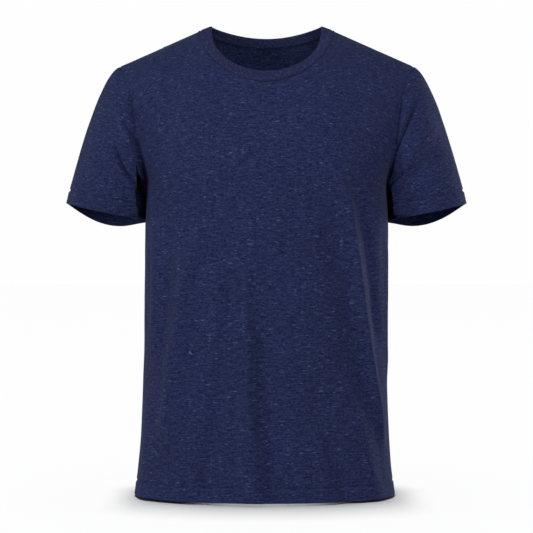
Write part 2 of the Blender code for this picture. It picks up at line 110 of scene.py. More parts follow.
# Folds run from start over middle to end, in distance round the body from the centre line
# and height. A fold is as wide as near towards -X and as wide as far towards +X, and rise
# is outwards.
PANEL_FOLDS = (
    ("piece", "start", "middle", "end", "near", "far", "rise"),
    ("front", (-0.030, -0.320), (-0.027, -0.460), (-0.013, -0.730), 0.014, 0.008, 0.0050),
    ("front", (-0.030, -0.400), (-0.020, -0.540), (-0.001, -0.730), 0.036, 0.012, 0.0102),
    ("front", (-0.046, -0.340), (-0.060, -0.500), (-0.098, -0.730), 0.012, 0.014, -0.0075),
    ("front", (-0.094, -0.270), (-0.129, -0.430), (-0.156, -0.620), 0.009, 0.016, 0.0065),
    ("front", (-0.141, -0.236), (-0.148, -0.360), (-0.164, -0.520), 0.009, 0.008, -0.0047),
    ("front", (-0.194, -0.240), (-0.176, -0.350), (-0.184, -0.500), 0.009, 0.010, 0.0045),
    ("front", (0.108, -0.180), (0.143, -0.400), (0.198, -0.640), 0.008, 0.008, 0.0075),
    ("front", (0.130, -0.220), (0.158, -0.350), (0.184, -0.480), 0.009, 0.012, -0.0060),
    ("front", (0.082, -0.260), (0.122, -0.410), (0.158, -0.590), 0.022, 0.010, -0.0075),
    ("front", (0.064, -0.500), (0.094, -0.605), (0.134, -0.730), 0.012, 0.016, -0.0055),
    ("front", (0.114, -0.510), (0.150, -0.610), (0.182, -0.710), 0.014, 0.014, 0.0040),
    ("back", (-0.150, -0.200), (-0.130, -0.400), (-0.160, -0.680), 0.010, 0.016, 0.0065),
    ("back", (-0.100, -0.300), (-0.070, -0.470), (-0.080, -0.700), 0.016, 0.022, -0.0055),
    ("back", (0.010, -0.330), (-0.004, -0.500), (0.020, -0.700), 0.020, 0.011, 0.0055),
    ("back", (0.080, -0.280), (0.064, -0.460), (0.086, -0.700), 0.020, 0.016, -0.0055),
    ("back", (0.140, -0.210), (0.132, -0.420), (0.164, -0.660), 0.016, 0.010, 0.0065),
    ("front", (0.098, -0.088), (0.140, -0.098), (0.182, -0.122), 0.007, 0.007, 0.0014),
    ("front", (-0.104, -0.098), (-0.140, -0.108), (-0.176, -0.138), 0.008, 0.008, 0.0009),
    ("front", (-0.078, -0.300), (-0.092, -0.400), (-0.108, -0.540), 0.012, 0.012, -0.0014),
    ("front", (0.020, -0.400), (0.030, -0.500), (0.046, -0.640), 0.013, 0.013, 0.0014),
    ("front", (0.205, -0.300), (0.210, -0.380), (0.216, -0.540), 0.009, 0.009, 0.0032),
    ("front", (-0.186, -0.540), (-0.192, -0.610), (-0.196, -0.740), 0.016, 0.018, 0.0034),
    ("back", (-0.190, -0.260), (-0.180, -0.340), (-0.186, -0.470), 0.009, 0.009, -0.0030),
    ("back", (-0.040, -0.360), (-0.034, -0.500), (-0.046, -0.660), 0.010, 0.010, 0.0026),
    ("back", (0.110, -0.340), (0.100, -0.480), (0.118, -0.640), 0.010, 0.010, 0.0024),
    ("back", (0.186, -0.250), (0.180, -0.350), (0.190, -0.480), 0.009, 0.009, -0.0030),
    ("back", (-0.060, -0.110), (-0.110, -0.140), (-0.160, -0.200), 0.012, 0.012, 0.0016),
    ("back", (0.054, -0.100), (0.108, -0.134), (0.158, -0.190), 0.012, 0.012, 0.0018),
)
FOLD_RISES = 0.28        # share of a fold's length over which it begins,
FOLD_DIES = 0.14         # and over which it dies away at its end
FOLD_SAMPLES = 24
SIDE_CALM = 0.030        # folds die away over this distance from a side seam

SHOULDER_STEPS = 34
NECK_STEPS = 118
SIDE_STEPS = 112
ARMHOLE_STEPS = 60
BESIDE_SEAM = (0.006, 0.013, 0.021)   # extra columns, as shares of a shoulder seam
BELOW_TOP = (0.0025, 0.0055)          # extra rows, as shares of an armhole
HEM_ROWS = np.array([0.0, 0.0024, 0.0048, 0.0072, 0.0096, 0.0120, 0.0142, 0.0160, 0.0176,
                     0.0190, 0.0198, 0.0206, 0.0214, 0.0224, 0.0240, 0.0265])


def rows_of(table):
    """Rows of a table whose first row names its columns."""
    names, *rows = table
    return [dict(zip(names, row)) for row in rows]


def row_for(table, name):
    return next(row for row in rows_of(table) if name in row.values())


def smooth_column(table, column, at):
    """Value of a column at a place in the first column, by cubics that don't overshoot."""
    known = np.array([row[0] for row in table[1:]], float)
    values = np.array([row[column] for row in rows_of(table)], float)
    step = np.diff(known)
    rate = np.diff(values) / step
    slope = np.zeros(len(known))
    same_way = rate[:-1] * rate[1:] > 0
    total = np.where(same_way, rate[:-1] + rate[1:], 1.0)
    slope[1:-1] = np.where(same_way, 2 * rate[:-1] * rate[1:] / total, 0.0)
    slope[0], slope[-1] = rate[0], rate[-1]
    at = np.clip(np.asarray(at, float), known[0], known[-1])
    index = np.clip(np.searchsorted(known, at) - 1, 0, len(step) - 1)
    t = (at - known[index]) / step[index]
    start = values[index] * (1 + 2 * t) * (1 - t) ** 2
    end = values[index + 1] * t * t * (3 - 2 * t)
    leave = slope[index] * t * (1 - t) ** 2
    arrive = slope[index + 1] * t * t * (t - 1)
    return start + end + step[index] * (leave + arrive)


def smoothstep(value):
    value = np.clip(value, 0.0, 1.0)
    return value * value * (3 - 2 * value)


def hump(distance, width):
    """Soft bump of height 1 about distance 0."""
    return np.exp(-(distance / width) ** 2)


NO_LENGTH = 1e-12


def unit(vectors):
    length = np.linalg.norm(vectors, axis=-1, keepdims=True)
    return vectors / np.maximum(length, NO_LENGTH)


def along(points):
    """Distance of each point along a line of points, or up its column of a grid."""
    steps = np.linalg.norm(np.diff(points, axis=0), axis=-1)
    return np.concatenate([np.zeros_like(steps[:1]), np.cumsum(steps, axis=0)])


def along_rows(grid):
    """Distance of each point along its row of a grid."""
    return along(grid.swapaxes(0, 1)).T


def shoulder_line(x):
    """Height of the shoulder line, which rises on inside the neck without a kink."""
    x = np.abs(x)
    outside = NECK_HEIGHT - SHOULDER_SLOPE * (x - NECK_HALF)
    inside = NECK_HEIGHT + SHOULDER_SLOPE * (NECK_HALF ** 2 - x ** 2) / (2 * NECK_HALF)
    return np.where(x > NECK_HALF, outside, inside)


def body_form(side, turn, height):
    """Point of the body at a turn from the centre line (radians) and a height."""
    half_width = smooth_column(BODY, "half_width", height)
    shift = smooth_column(BODY, "shift", height)
    depth = smooth_column(BODY, side, height)
    power = 2 / SQUARENESS
    x = half_width * np.sign(turn) * np.abs(np.sin(turn)) ** power
    fall = np.clip((shoulder_line(x) - height) / RIDGE_DEPTH[side], 0.0, 1.0)
    ridge = (fall * (2 - fall)) ** smooth_column(RIDGE, side, np.abs(x))
    y = depth * np.abs(np.cos(turn)) ** power * ridge
    return np.stack([x + shift, -y if side == "front" else y, height + 0 * x], -1)


def turn_at(x, height):
    """Turn at which the body form reaches a distance from the centre."""
    share = np.clip(np.abs(x) / smooth_column(BODY, "half_width", height), 0.0, 1.0)
    return np.sign(x) * np.arcsin(share ** (SQUARENESS / 2))


def side_rows():
    """Height of each row along the side, and how far its columns have spread."""
    hem = HEM_HEIGHT + HEM_ROWS
    side = np.linspace(hem[-1], ARMPIT_HEIGHT, SIDE_STEPS + 1)[1:]
    below = np.concatenate([hem, side])
    steps = np.arange(1, ARMHOLE_STEPS + 1) / ARMHOLE_STEPS
    steps = np.sort(np.concatenate([steps, 1 - np.array(BELOW_TOP)]))
    fine = np.linspace(ARMPIT_HEIGHT, shoulder_line(SHOULDER_HALF), ARMHOLE_SAMPLES)
    x = smooth_column(ARMHOLE, "half_width", fine)
    travelled = along(body_form("front", turn_at(x, fine), fine))
    share = 1 - (1 - steps) ** SHOULDER_CROWDING
    armhole = np.interp(share * travelled[-1], travelled, fine)
    rising = np.clip((below - SPREAD_HEIGHT) / (ARMPIT_HEIGHT - SPREAD_HEIGHT), 0, 1)
    spread = np.concatenate([ARMPIT_SPREAD * rising,
                             ARMPIT_SPREAD + (1 - ARMPIT_SPREAD) * steps])
    return np.concatenate([below, armhole]), spread


def neck_curve(edge, share):
    """Half a neck edge in front view; share runs from -1 over the centre to 1."""
    angle = share * math.pi / 2
    drop = np.abs(np.cos(angle)) ** edge["power"]
    height = edge["at_side"] + (edge["at_centre"] - edge["at_side"]) * drop
    return edge["half_width"] * np.sin(angle), height


def panel_columns(side):
    """Places of a panel's columns, from -1 to 1, close together beside the seams."""
    outward = np.linspace(1, 0, SHOULDER_STEPS + 1)[:-1]
    outward = np.sort(np.concatenate([outward, 1 - np.array(BESIDE_SEAM)]))[::-1]
    shoulder = NECK_SHARE[side] + outward * (1 - NECK_SHARE[side])
    middle = np.linspace(-NECK_SHARE[side], NECK_SHARE[side], NECK_STEPS + 1)
    return np.concatenate([-shoulder, middle, shoulder[::-1]])


def panel_top(side, across):
    """Top edge of a panel: shoulder seam, neckline, shoulder seam."""
    share = NECK_SHARE[side]
    neck_x, neck_z = neck_curve(row_for(NECK_SEAM, side), np.clip(across / share, -1, 1))
    outward = (np.abs(across) - share) / (1 - share)
    shoulder_x = NECK_HALF + (SHOULDER_HALF - NECK_HALF) * outward
    on_neck = outward <= 0
    x = np.where(on_neck, neck_x, np.sign(across) * shoulder_x)
    height = np.where(on_neck, neck_z, shoulder_line(shoulder_x))
    return turn_at(x, height), height


def panel_form(side):
    """Grid of a panel's points, rows from hem to shoulder and columns towards +X."""
    heights, spread = side_rows()
    spread = spread[:, None]
    across = panel_columns(side)
    top_turn, top_height = panel_top(side, across)
    edge_x = smooth_column(ARMHOLE, "half_width", np.maximum(heights, ARMPIT_HEIGHT))
    edge_turn = np.where(heights <= ARMPIT_HEIGHT, math.pi / 2, turn_at(edge_x, heights))
    lift = smoothstep((heights - LIFT_HEIGHT) / (heights[-1] - LIFT_HEIGHT))[:, None]
    inward = edge_turn[:, None] - (1 - spread) * edge_turn[0] - spread * edge_turn[-1]
    power = ARMHOLE_PULL[0] + (ARMHOLE_PULL[1] - ARMHOLE_PULL[0]) * spread ** PULL_GROWS
    reach = np.sign(across) * np.abs(across) ** power
    turn = (1 - spread) * across * math.pi / 2 + spread * top_turn + inward * reach
    height = heights[:, None] + lift * (top_height - heights[-1])
    turn[-1], height[-1] = top_turn, top_height
    return body_form(side, turn, np.broadcast_to(height, turn.shape))


def grid_normals(grid, closed, sign):
    """Outward unit normals of a grid of points, which closes on itself if it is a tube."""
    rise = np.gradient(grid, axis=0)
    if closed:
        run = np.roll(grid, -1, axis=1) - np.roll(grid, 1, axis=1)
    else:
        run = np.gradient(grid, axis=1)
    return unit(np.cross(run, rise)) * sign


def fold_height(u, v, fold, scale=(1.0, 1.0)):
    """Rise of a fold at places (u, v): a soft hump about its curve, dying at its ends."""
    t = np.linspace(0, 1, FOLD_SAMPLES)
    ends = (fold["start"], fold["middle"], fold["end"])
    start, middle, end = (np.multiply(point, scale)[:, None] for point in ends)
    via = 2 * middle - (start + end) / 2
    line = (1 - t) ** 2 * start + 2 * t * (1 - t) * via + t * t * end
    best = np.full(u.shape, np.inf)
    place = np.zeros(u.shape)
    width = np.zeros(u.shape)
    for number in range(FOLD_SAMPLES - 1):
        a, b = line[:, number], line[:, number + 1]
        step = b - a
        share = ((u - a[0]) * step[0] + (v - a[1]) * step[1]) / (step @ step)
        share = np.clip(share, 0, 1)
        beside = u - a[0] - share * step[0]
        gap = np.hypot(beside, v - a[1] - share * step[1])
        nearer = gap < best
        best = np.where(nearer, gap, best)
        place = np.where(nearer, (number + share) / (FOLD_SAMPLES - 1), place)
        width = np.where(nearer, np.where(beside < 0, fold["near"], fold["far"]), width)
    strength = smoothstep(place / FOLD_RISES) * smoothstep((1 - place) / FOLD_DIES)
    return fold["rise"] * strength * hump(best, width)


def lumps(points, size, seed):
    """Smooth unevenness between about -1 and 1, with lumps of about this size."""
    places = (points.reshape(-1, 3) / size + seed).tolist()
    values = [noise.noise(Vector(place)) for place in places]
    return np.array(values).reshape(points.shape[:-1])


UNEVEN = (
    ("size", "rise", "seed"),
    (0.075, 0.0009, 3.0),
    (0.034, 0.0004, 17.0),
    (0.014, 0.00012, 41.0),
)
STITCH_HEIGHTS = (0.0192, 0.0218)   # the two needle rows, above the hem's edge
STITCH_SINK = 0.0017                # how far they draw the cloth in,
STITCH_GROOVE = 0.0018              # and how wide a groove they leave
HEM_PUFF = 0.0003                   # how far the turned-up layer stands out,
PUFF_HEIGHT = 0.0150                # at which height above its edge,
PUFF_WIDTH = 0.0045                 # and how far up and down from there
HEM_PUCKER = 0.00022                # how far the cloth puckers about the stitches,
PUCKER_SIZE = 0.0072                # how wide a pucker is round the hem,
PUCKER_RUN = (1, 1, 0.25)           # drawn out to four times that up the hem,
PUCKER_WIDTH = 0.0075               # and how far from the stitches puckers reach
PUCKER_SEED = 5.0
SEAM_SINK = 0.0008                  # how far a seam draws the cloth in,
SEAM_WIDTH = 0.0017
NECK_SINK = 0.0007                  # and how much further the neckband's seam does
EDGE_CALM = 0.012                   # unevenness dies away over this distance from a seam


def surface_rise(points, from_seam, from_hem):
    """Rise of the cloth itself: unevenness, drawn-in seams and the puckered hem."""
    rise = np.zeros(from_seam.shape)
    for row in rows_of(UNEVEN):
        rise += row["rise"] * lumps(points, row["size"], row["seed"])
    rise *= smoothstep(from_seam / EDGE_CALM)
    between = sum(STITCH_HEIGHTS) / len(STITCH_HEIGHTS)
    rise -= STITCH_SINK * hump(from_hem - between, STITCH_GROOVE)
    rise += HEM_PUFF * hump(from_hem - PUFF_HEIGHT, PUFF_WIDTH)
    pucker = lumps(points * PUCKER_RUN, PUCKER_SIZE, PUCKER_SEED)
    rise += HEM_PUCKER * pucker * hump(from_hem - between, PUCKER_WIDTH)
    return rise


SAME_POINT = 1e6         # points that share one of this many places a metre are the same


def shared_normals(grids, normals):
    """Normals averaged over the pieces that meet at a point, for each grid."""
    points = np.concatenate([grid.reshape(-1, 3) for grid in grids])
    every = np.concatenate([normal.reshape(-1, 3) for normal in normals])
    keys = np.round(points * SAME_POINT).astype(int)
    met, index = np.unique(keys, axis=0, return_inverse=True)
    index = index.reshape(-1)
    total = np.zeros((len(met), 3))
    np.add.at(total, index, every)
    counts = [grid.shape[0] * grid.shape[1] for grid in grids]
    parts = np.split(unit(total[index]), np.cumsum(counts)[:-1])
    return [part.reshape(grid.shape) for part, grid in zip(parts, grids)]


def away_from(edge, beside):
    """Unit steps from a seam's points into their piece, square to the seam."""
    tangent = unit(np.gradient(edge, axis=0))
    step = beside - edge
    return unit(step - tangent * np.sum(step * tangent, axis=-1, keepdims=True))


# Cosine between the normals of an edge and its seam, below which the edge ends square and
# above which it ends in a mitre.
SQUARE_END = 0.5
MITRED_END = 0.8


def cloth_wall(grid, normal, shared, closed, from_seam, from_hem):
    """Outer and inner points of a wall of cloth, drawn in along its seams."""
    agreement = np.sum(normal * shared, axis=-1, keepdims=True)
    joined = smoothstep((agreement - SQUARE_END) / (MITRED_END - SQUARE_END))
    direction = unit(normal + (shared - normal) * joined)
    pull = np.zeros(grid.shape)
    pull[-1] += away_from(grid[-1], grid[-2])
    if not closed:
        pull[:, 0] += away_from(grid[:, 0], grid[:, 1])
        pull[:, -1] += away_from(grid[:, -1], grid[:, -2])
    on_seam = np.linalg.norm(pull, axis=-1, keepdims=True) > 0
    shift = pull * SEAM_GAP / 2 - normal * SEAM_GAP * (1 - joined) * on_seam
    sink = SEAM_SINK * hump(from_seam, SEAM_WIDTH)[..., None] * joined
    thickness = np.where(from_hem < HEM_DEPTH, HEM_WALL, JERSEY)[..., None]
    mitre = np.maximum(np.sum(direction * normal, axis=-1, keepdims=True), MITRED_END)
    outer = grid + shift - direction * sink
    return outer, outer - direction * (thickness - sink / 2) / mitre


WANDER = 0.0010          # how far worn cloth wanders,
WANDER_SIZE = 0.11       # over what distance,
WANDER_FROM = 9.0        # and where in the noise it starts
WANDER_SEED = 5
noise.seed_set(WANDER_SEED)   # without a seed, noise_vector takes one from the clock


def settled(points):
    """Points moved by the slow wander of worn cloth, the same wherever pieces meet."""
    places = (points.reshape(-1, 3) / WANDER_SIZE + WANDER_FROM).tolist()
    wander = np.array([noise.noise_vector(Vector(place)) for place in places])
    return points + WANDER * wander.reshape(points.shape)


def object_of(name, data):
    """New object in the scene for a mesh, a light or a camera."""
    made = bpy.data.objects.new(name, data)
    bpy.context.scene.collection.objects.link(made)
    return made


HEM_ROUNDING = 5         # rows round the fold of a hem
SHARP_EDGE = 50          # degrees


def cloth_piece(name, outer, inner, uv, closed, sign, material):
    """Object of a wall of cloth whose first row is a rounded fold and other edges are cut."""
    half = np.linalg.norm(outer[0] - inner[0], axis=-1, keepdims=True) / 2
    up = unit(outer[1] - outer[0]) * half
    outer, inner = outer.copy(), inner.copy()
    outer[0] += up
    inner[0] += up
    centre, spoke = (outer[0] + inner[0]) / 2, (outer[0] - inner[0]) / 2
    angles = math.pi * (1 - np.arange(1, HEM_ROUNDING + 1) / (HEM_ROUNDING + 1))
    fold = [centre + math.cos(angle) * spoke - math.sin(angle) * up for angle in angles]
    points = settled(np.concatenate([outer, inner[::-1], fold]))
    places = np.concatenate([uv, uv[::-1], np.repeat(uv[:1], HEM_ROUNDING, axis=0)])
    rows, columns = points.shape[:2]
    last = columns if closed else columns - 1
    row, column = (axis.ravel() for axis in np.mgrid[0:rows, 0:last])
    after = (row + 1) % rows
    corner_rows = np.stack([row, row, after, after], -1).tolist()
    corner_columns = np.stack([column, column + 1, column + 1, column], -1).tolist()
    if not closed:
        height = len(outer)
        for edge in (0, last):
            cap_rows = [[n, 2 * height - 1 - n, 2 * height - 2 - n, n + 1]
                        for n in range(height - 1)]
            cap_rows.append(list(range(2 * height - 1, rows)) + [0])
            if edge:
                cap_rows = [cap[::-1] for cap in cap_rows]
            corner_rows += cap_rows
            corner_columns += [[edge] * len(cap) for cap in cap_rows]
    if sign < 0:
        corner_rows = [face[::-1] for face in corner_rows]
        corner_columns = [face[::-1] for face in corner_columns]
    faces = [[r * columns + c % columns for r, c in zip(*face)]
             for face in zip(corner_rows, corner_columns)]
    mesh = bpy.data.meshes.new(name)
    mesh.from_pydata(points.reshape(-1, 3).tolist(), [], faces)
    flat_rows = [r for face in corner_rows for r in face]
    flat_columns = [c for face in corner_columns for c in face]
    cloth_map = mesh.uv_layers.new(name="cloth")
    cloth_map.data.foreach_set("uv", places[flat_rows, flat_columns].ravel())
    mesh.shade_smooth()
    mesh.set_sharp_from_angle(angle=math.radians(SHARP_EDGE))
    mesh.materials.append(material)
    return object_of(name, mesh)


class Value:
    """One socket of a material. Arithmetic on it adds Math nodes."""

    def __init__(self, dye, socket):
        self.dye = dye
        self.socket = socket

    def math(self, operation, *others):
        return self.dye.math(operation, self, *others)

    def __add__(self, other):
        return self.math("ADD", other)

    def __sub__(self, other):
        return self.math("SUBTRACT", other)

    def __rsub__(self, other):
        return self.dye.math("SUBTRACT", other, self)

    def __mul__(self, other):
        return self.math("MULTIPLY", other)

    def __truediv__(self, other):
        return self.math("DIVIDE", other)

    __radd__ = __add__
    __rmul__ = __mul__


CLOTH_SPECULAR = 0.12
SHEEN_ROUGHNESS = 0.45
SHEEN_TINT = (0.62, 0.68, 0.90, 1.0)
BUMP_STRENGTH = 0.6
GRAIN_DETAIL = 1.0
LOOP_SLANT = 1.3         # how far a loop's arms slant, in courses for each wale


class Dye:
    """A material whose nodes are added one after another."""

    def __init__(self, name, roughness, sheen):
        self.material = bpy.data.materials.new(name)
        self.material.use_nodes = True
        self.tree = self.material.node_tree
        self.shader = self.tree.nodes["Principled BSDF"]
        self.shader.inputs["Roughness"].default_value = roughness
        self.shader.inputs["Specular IOR Level"].default_value = CLOTH_SPECULAR
        self.shader.inputs["Sheen Weight"].default_value = sheen
        self.shader.inputs["Sheen Roughness"].default_value = SHEEN_ROUGHNESS
        self.shader.inputs["Sheen Tint"].default_value = SHEEN_TINT

    def node(self, kind, settings, sockets, output=0):
        added = self.tree.nodes.new(kind)
        for setting, value in settings.items():
            setattr(added, setting, value)
        for socket, value in sockets.items():
            self.feed(added.inputs[socket], value)
        return Value(self, added.outputs[output])

    def feed(self, socket, value):
        if isinstance(value, Value):
            self.tree.links.new(value.socket, socket)
        else:
            socket.default_value = value

    def math(self, operation, *values):
        sockets = dict(enumerate(values))
        return self.node("ShaderNodeMath", {"operation": operation}, sockets)

    def mix(self, first, second, share):
        """Colour between two others, whose sockets on a Mix node are 6 and 7."""
        sockets = {0: share, 6: first, 7: second}
        return self.node("ShaderNodeMix", {"data_type": "RGBA"}, sockets, output=2)

    def scaled(self, colour, factor):
        sockets = {0: colour, "Scale": factor}
        return self.node("ShaderNodeVectorMath", {"operation": "SCALE"}, sockets)

    def between(self, value, low, high):
        """0 below low, 1 above high and smooth between."""
        sockets = {"Value": value, "From Min": low, "From Max": high}
        return self.node("ShaderNodeMapRange", {"interpolation_type": "SMOOTHSTEP"}, sockets)

    def grain(self, length, height, seed):
        """Noise over the cloth map in streaks of this length and height."""
        place = self.node("ShaderNodeUVMap", {"uv_map": "cloth"}, {})
        sockets = {"Vector": place, "Location": (seed, seed / 2, 0),
                   "Scale": (1 / length, 1 / height, 1)}
        streaks = self.node("ShaderNodeMapping", {}, sockets)
        sockets = {"Vector": streaks, "Scale": 1.0, "Detail": GRAIN_DETAIL}
        return self.node("ShaderNodeTexNoise", {"noise_dimensions": "2D"}, sockets)

    def knit(self, wale, course):
        """Height of a knit face between 0 and 1: columns of small V loops."""
        place = self.node("ShaderNodeUVMap", {"uv_map": "cloth"}, {})
        across = self.node("ShaderNodeSeparateXYZ", {}, {0: place}, output="X") / wale
        up = self.node("ShaderNodeSeparateXYZ", {}, {0: place}, output="Y") / course
        arm = (across.math("FRACT") - 0.5).math("ABSOLUTE")
        loop = (up + arm * LOOP_SLANT).math("FRACT")
        yarn = 1 - (loop - 0.5).math("ABSOLUTE") * 2
        column = 1 - (arm - 0.25).math("ABSOLUTE") * 4
        return yarn * column

    def bump(self, height, distance):
        sockets = {"Height": height, "Distance": distance, "Strength": BUMP_STRENGTH}
        self.feed(self.shader.inputs["Normal"], self.node("ShaderNodeBump", {}, sockets))


NAVY = (0.0070, 0.0118, 0.0560, 1.0)
NAVY_PALE = (0.0290, 0.0370, 0.1060, 1.0)
SLUB = (0.0900, 0.1450, 0.3000, 1.0)
HEATHER = (
    ("layer", "length", "height", "seed"),
    ("short_fibres", 0.0036, 0.0021, 2.0),
    ("long_fibres", 0.0140, 0.0023, 7.0),
    ("slubs", 0.0095, 0.0021, 13.0),
    ("slub_clumps", 0.034, 0.018, 31.0),
    ("dark_slubs", 0.0100, 0.0026, 53.0),
    ("courses", 0.0900, 0.0034, 91.0),
    ("clouds", 0.060, 0.045, 71.0),
)
SHORT_FIBRES = 0.57      # their share of the streaks; the rest are long ones
SLUBS_APART = 0.25       # strength of a slub that lies outside the clumps
SLUB_STRENGTH = 0.72
DARK_STRENGTH = 0.35
COURSE_CONTRAST = 0.24
CLOUD_CONTRAST = 0.16
STREAK_RISE = 0.6        # how far streaks and slubs stand out, where a loop of the knit
SLUB_RISE = 1.5          # stands out by 1


def heather_jersey():
    """Navy heather: fine streaks along the courses, pale slubs and a few dark ones."""
    dye = Dye("heather_jersey", roughness=0.92, sheen=0.07)
    layer = {row["layer"]: dye.grain(row["length"], row["height"], row["seed"])
             for row in rows_of(HEATHER)}
    fibres = layer["short_fibres"] * SHORT_FIBRES + layer["long_fibres"] * (1 - SHORT_FIBRES)
    streak = dye.between(fibres, low=0.31, high=0.69)
    colour = dye.mix(NAVY, NAVY_PALE, streak)
    clump = dye.between(layer["slub_clumps"], low=0.35, high=0.65)
    slub = dye.between(layer["slubs"], low=0.65, high=0.82)
    slub = slub * (clump * (1 - SLUBS_APART) + SLUBS_APART)
    colour = dye.mix(colour, SLUB, slub * SLUB_STRENGTH)
    shade = 1 - dye.between(layer["dark_slubs"], low=0.62, high=0.80) * DARK_STRENGTH
    courses = layer["courses"] * COURSE_CONTRAST + (1 - COURSE_CONTRAST / 2)
    cloudy = layer["clouds"] * CLOUD_CONTRAST + (1 - CLOUD_CONTRAST / 2)
    colour = dye.scaled(colour, shade * courses * cloudy)
    dye.feed(dye.shader.inputs["Base Color"], colour)
    relief = dye.knit(wale=0.0011, course=0.0008) + streak * STREAK_RISE + slub * SLUB_RISE
    dye.bump(relief, distance=0.00022)
    return dye.material


jersey = heather_jersey()

# Where each piece is cut from the cloth, in metres along it, so that no pattern comes twice.
CUT_FROM = {"front": 0.0, "back": 1.0, "sleeve_left": 2.0, "sleeve_right": 3.0}
PANELS = {"front": 1, "back": -1}

# Width, length and area of the cloth that shows, laid flat.
PANEL_CUT = {"front": (0.530, 0.720, 0.322), "back": (0.530, 0.740, 0.326)}
grids = {}
maps = {}
from_seams = {}
from_hems = {}
normals = {}
for side, sign in PANELS.items():
    grid = panel_form(side)
    middle = grid.shape[1] // 2
    travelled = along_rows(grid)
    around = travelled - travelled[:, middle:middle + 1]
    to_side = np.minimum(travelled, travelled[:, -1:] - travelled)
    climbed = along(grid)
    to_top = climbed[-1:] - climbed
    rise = sum(fold_height(around, grid[..., 2], fold)
               for fold in rows_of(PANEL_FOLDS) if fold["piece"] == side)
    rise = rise * smoothstep(to_side / SIDE_CALM)
    from_seams[side] = np.minimum(to_side, to_top)
    from_hems[side] = climbed
    rise = rise + surface_rise(grid, from_seams[side], climbed)
    to_neck = np.full(rise.shape, np.inf)
    for point in grid[-1, np.abs(panel_columns(side)) <= NECK_SHARE[side]]:
        to_neck = np.minimum(to_neck, np.linalg.norm(grid - point, axis=-1))
    rise = rise - NECK_SINK * hump(to_neck, SEAM_WIDTH)
    grids[side] = grid + grid_normals(grid, False, sign) * rise[..., None]
    normals[side] = grid_normals(grids[side], False, sign)
    maps[side] = np.stack([CUT_FROM[side] + around, climbed], -1)


# ---------------------------------------------------------------------------------------
# Sleeves. Short set-in sleeves of the same jersey, each one piece closed by a seam under
# the arm and overlocked into its armhole. They hang down and out as over an arm, with
# creases that fan from the underarm, and a turned-up hem at the cuff.
# ---------------------------------------------------------------------------------------
HANDS = {"sleeve_left": -1, "sleeve_right": 1}
CUFF_OUTER = (0.2984, -0.2602)
CUFF_INNER = (0.1818, -0.2840)
CUFF_HALF_DEPTH = 0.055
CUFF_DROOP = {"front": 0.003, "back": 0.019}
SLEEVE_LEAVES = {"top": (0.092, 0.000, -0.042),
                 "side": (0.062, 0.050, -0.060),
                 "under": (0.004, 0.000, -0.030)}
SLEEVE_ARRIVES = {"top": (0.050, 0.000, -0.210),
                  "side": (0.022, 0.000, -0.120),
                  "under": (0.004, 0.000, -0.040)}
TURN_POWER = 1.5         # by which the top and the underside give way to the sides
SLEEVE_STEPS = 84
BELOW_ARMHOLE = (0.003, 0.007, 0.012)   # extra rings, as shares of the way to the cuff
ARMHOLE_CALM = 0.015     # creases begin over this share of the way
SLEEVE_CUT = (0.400, 0.215, 0.0560)

# Creases: turn in degrees from the shoulder seam towards the front, and share of the way
# from armhole to cuff. Near is the side of the smaller turns and far the other.
SLEEVE_FOLDS = (
    ("piece", "start", "middle", "end", "near", "far", "rise"),
    ("sleeve_left", (50, 0.44), (112, 0.50), (142, 0.80), 0.0035, 0.0040, -0.0080),
    ("sleeve_left", (56, 0.24), (84, 0.17), (112, 0.03), 0.0035, 0.0035, -0.0050),
    ("sleeve_left", (20, 0.00), (100, 0.025), (160, 0.07), 0.020, 0.006, -0.0085),
    ("sleeve_left", (203, 0.25), (203, 0.68), (202, 1.15), 0.013, 0.015, 0.0085),
    ("sleeve_left", (30, 0.55), (62, 0.66), (90, 0.88), 0.014, 0.014, 0.0025),
    ("sleeve_left", (300, 0.36), (258, 0.46), (222, 0.76), 0.013, 0.013, -0.0050),
    ("sleeve_left", (284, 0.24), (250, 0.28), (216, 0.46), 0.011, 0.011, 0.0035),
    ("sleeve_left", (140, 0.04), (190, 0.04), (240, 0.04), 0.008, 0.008, 0.0021),
    ("sleeve_right", (34, 0.20), (86, 0.22), (134, 0.22), 0.010, 0.010, -0.0030),
    ("sleeve_right", (22, 0.21), (84, 0.185), (126, 0.00), 0.0035, 0.0040, -0.0085),
    ("sleeve_right", (30, 0.00), (108, 0.02), (160, 0.08), 0.012, 0.006, -0.0075),
    ("sleeve_right", (203, 0.25), (203, 0.68), (202, 1.15), 0.013, 0.015, 0.0085),
    ("sleeve_right", (110, 0.45), (130, 0.41), (152, 0.40), 0.005, 0.007, -0.0060),
    ("sleeve_right", (20, 0.47), (78, 0.42), (130, 0.43), 0.012, 0.012, 0.0040),
    ("sleeve_right", (36, 0.62), (92, 0.58), (140, 0.72), 0.013, 0.013, -0.0035),
    ("sleeve_right", (312, 0.30), (262, 0.40), (224, 0.72), 0.013, 0.013, -0.0050),
    ("sleeve_right", (296, 0.22), (254, 0.24), (216, 0.44), 0.011, 0.011, 0.0035),
    ("sleeve_right", (140, 0.04), (190, 0.04), (240, 0.04), 0.008, 0.008, 0.0024),
)

# Beside the body the sleeve's front folds over and its cloth tucks in behind, from a
# little below the armhole to just above the cuff.
TUCK_DEPTH = 0.022
TUCK_WIDTH = 10          # degrees over which the cloth goes back
TUCK_OPENS = (0.08, 0.50)   # shares of the way to the cuff between which it opens,
TUCK_CLOSES = (0.93, 1.0)   # and closes
TUCK_LIP = 0.008         # how far the fold stands over the tuck,
LIP_TURN = 9             # and over how many degrees it rises to that
UNDERNEATH = (100, 230)  # degrees between which the cloth may lie back
TUCK_EDGE = (
    ("share", "sleeve_left", "sleeve_right"),
    (0.00, 112, 150),
    (0.20, 114, 149),
    (0.36, 118, 147),
    (0.43, 120, 138),
    (0.60, 124, 138),
    (0.80, 130, 139),
    (1.00, 133, 139),
)


